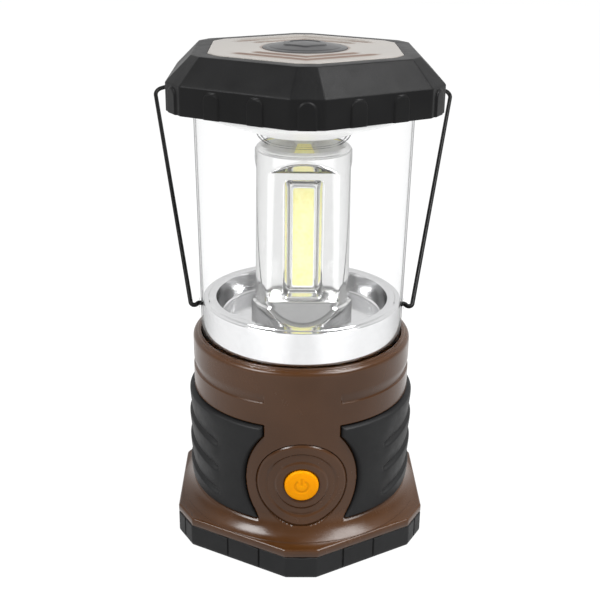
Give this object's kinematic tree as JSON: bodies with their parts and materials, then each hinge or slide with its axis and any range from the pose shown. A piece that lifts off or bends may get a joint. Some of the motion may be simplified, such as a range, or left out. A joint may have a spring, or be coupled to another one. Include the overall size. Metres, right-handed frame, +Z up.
{
  "type": "camping lantern",
  "caption": "Battery camping lantern with a hexagonal cap and foot, a clear globe round a three-sided light column, rubber grips, a wire bail and a push button.",
  "frame": {"origin": "centre of the foot on the surface it stands on", "axes": "+Z up through the cap; the front with the power button faces -Y"},
  "size_m": [0.1813, 0.1963, 0.2628],
  "materials": {
    "brown_plastic": "satin brown moulded plastic with a fine metallic flake",
    "black_plastic": "fine grained black plastic",
    "black_rubber": "soft matt rubber",
    "clear_plastic": "clear polycarbonate",
    "chrome_plating": "satin vacuum plated plastic",
    "cap_inlay": "warm grey satin plastic",
    "medallion": "dark grey satin dome",
    "orange_rubber": "satin orange silicone",
    "black_wire": "black coated steel wire",
    "steel": "zinc plated steel",
    "aluminium": "extruded aluminium",
    "led_board": "white solder mask on metal board",
    "led_dam": "white silicone dam",
    "phosphor": "yellow phosphor gel",
    "circuit_board": "green solder mask",
    "components": "electronic components",
    "nickel": "nickel plated spring steel",
    "cell_jacket": "printed steel can, plain",
    "seal_rubber": "black silicone seal",
    "lead": "insulated lead"
  },
  "bodies": {
    "base": {"base_housing": "brown_plastic", "grip_left": "black_rubber", "grip_right": "black_rubber", "foot_ring": "black_rubber", "battery_cradle": "black_plastic", "d_cells": "cell_jacket", "upper_contacts": "nickel", "driver_board": "circuit_board", "driver_parts": "components", "leads": "lead", "switch_board": "circuit_board", "tact_switch": "components", "switch_screws": "steel", "lower_reflector": "chrome_plating", "light_column": "chrome_plating", "column_cap": "brown_plastic", "heat_sink": "aluminium", "led_boards": "led_board", "led_frames": "led_dam", "led_strips": "phosphor", "cradle_screws": "steel", "reflector_screws": "steel", "column_screws": "steel", "board_screws": "steel"},
    "button": {"power_button": "orange_rubber"},
    "head_seal": {"globe_seal": "seal_rubber"},
    "head": {"globe": "clear_plastic", "globe_top": "clear_plastic", "cap_shell": "black_plastic", "cap_underplate": "black_plastic", "cap_plate": "cap_inlay", "cap_medallion": "medallion", "cap_screws": "steel"},
    "bail": {"bail": "black_wire"},
    "cover_ring": {"cover_seal": "seal_rubber"},
    "cover": {"battery_cover": "black_plastic", "contact_plates": "nickel", "contact_springs": "nickel"},
    "loop": {"hanging_loop": "steel"}
  },
  "joints": [
    {"name": "bail_swing", "type": "hinge", "parent": "head", "child": "bail", "pos_m": [0, 0, 0.125], "axis": [1, 0, 0], "range_deg": [-84.5, 185.5]},
    {"name": "button_press", "type": "slide", "parent": "base", "child": "button", "axis": [0, 1, 0], "range_m": [0, 0.001], "stiffness_N_per_m": 1500, "springref_m": -0.0003},
    {"name": "head_twist", "type": "hinge", "parent": "base", "child": "head_seal", "pos_m": [0, 0, 0.1075], "axis": [0, 0, 1], "range_deg": [0, 30]},
    {"name": "head_lift", "type": "slide", "parent": "head_seal", "child": "head", "axis": [0, 0, 1], "range_m": [0, 0.115]},
    {"name": "cover_twist", "type": "hinge", "parent": "base", "child": "cover_ring", "pos_m": [0, 0, 0.016], "axis": [0, 0, 1], "range_deg": [0, 30]},
    {"name": "cover_pull", "type": "slide", "parent": "cover_ring", "child": "cover", "axis": [0, 0, -1], "range_m": [0, 0.045]},
    {"name": "loop_swing", "type": "hinge", "parent": "cover", "child": "loop", "pos_m": [0, 0, 0.0046], "axis": [1, 0, 0], "range_deg": [0, 110]}
  ]
}
